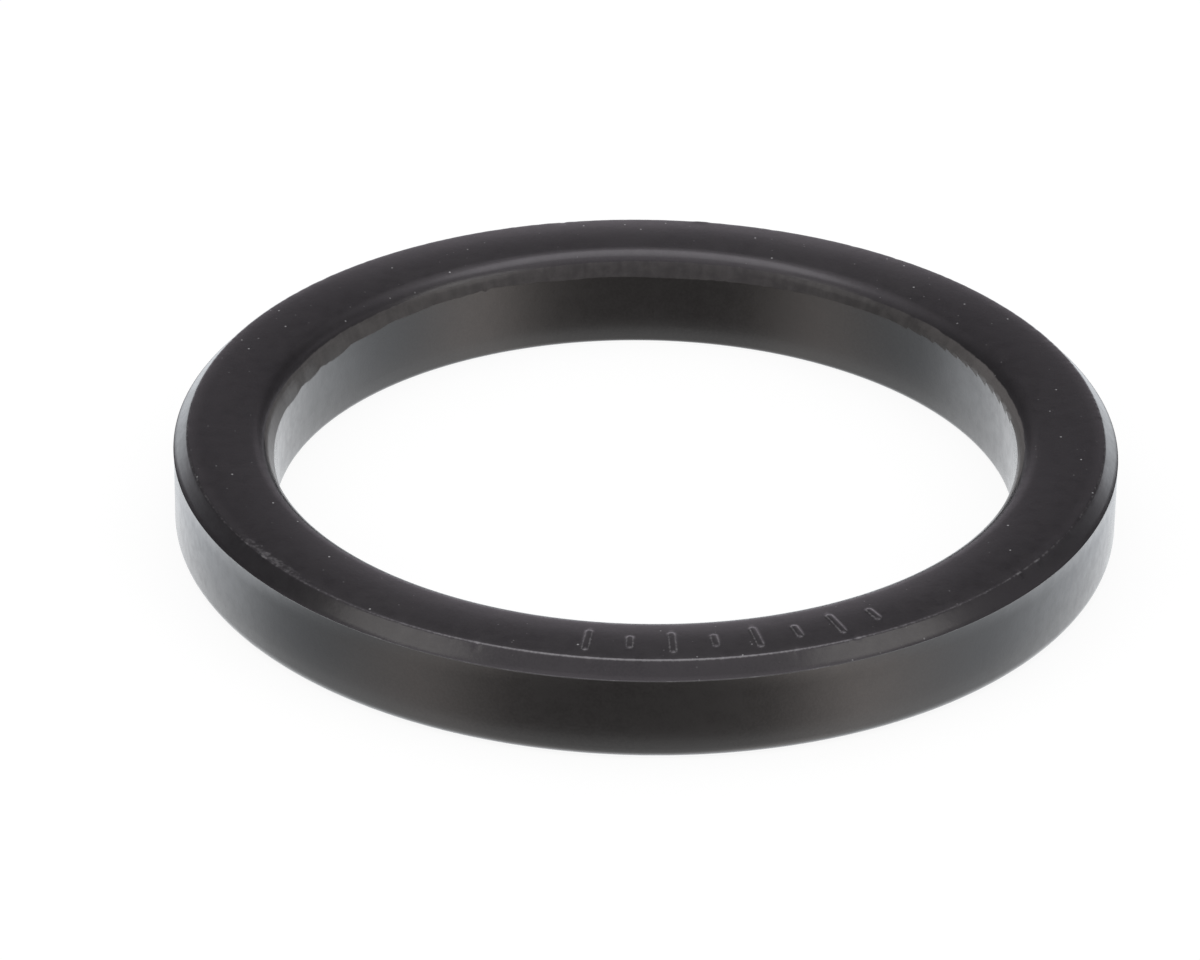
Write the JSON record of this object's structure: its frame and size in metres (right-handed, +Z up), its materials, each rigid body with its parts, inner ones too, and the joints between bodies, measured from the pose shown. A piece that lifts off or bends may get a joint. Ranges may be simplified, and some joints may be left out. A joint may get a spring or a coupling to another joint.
{
  "type": "group head gasket",
  "caption": "Moulded rubber sealing ring with a chamfered upper outside edge, a rounded inner lip and a knife-trimmed edge at the top of its bore, lying on its plain face.",
  "frame": {"origin": "centre of the ring on the plain bottom face", "axes": "+Z up along the ring's axis, from the plain face to the chamfered face; the index marks lie towards -Y"},
  "size_m": [0.073, 0.073, 0.0081],
  "materials": {
    "rubber": "satin black moulded rubber with a soft sheen, light edges where the mould closed, and a knife-trimmed bore edge"
  },
  "bodies": {
    "root": {"gasket_ring": "rubber"}
  },
  "joints": []
}
